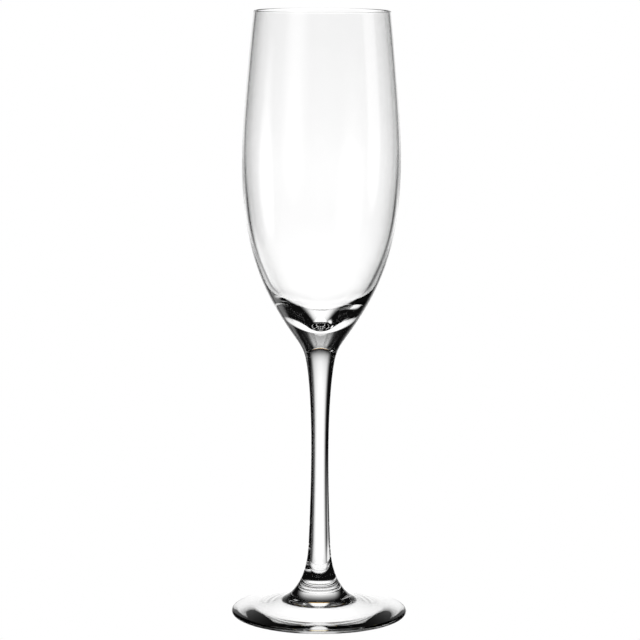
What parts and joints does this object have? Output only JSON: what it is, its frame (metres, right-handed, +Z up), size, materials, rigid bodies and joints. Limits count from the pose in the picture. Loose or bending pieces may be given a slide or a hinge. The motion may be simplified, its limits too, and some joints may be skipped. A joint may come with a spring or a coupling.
{
  "type": "champagne flute",
  "caption": "Tall clear glass champagne flute: slender tulip bowl with a heavy base, plain drawn stem and a shallow conical foot.",
  "frame": {"origin": "centre of the flat ring that the foot stands on", "axes": "+Z up along the axis of the stem and the bowl; the glass is round about it, so X and Y are free"},
  "size_m": [0.0684, 0.0684, 0.235],
  "materials": {
    "glass": "clear, fire-polished"
  },
  "bodies": {
    "root": {"bowl": "glass", "stem": "glass", "foot": "glass"}
  },
  "joints": []
}
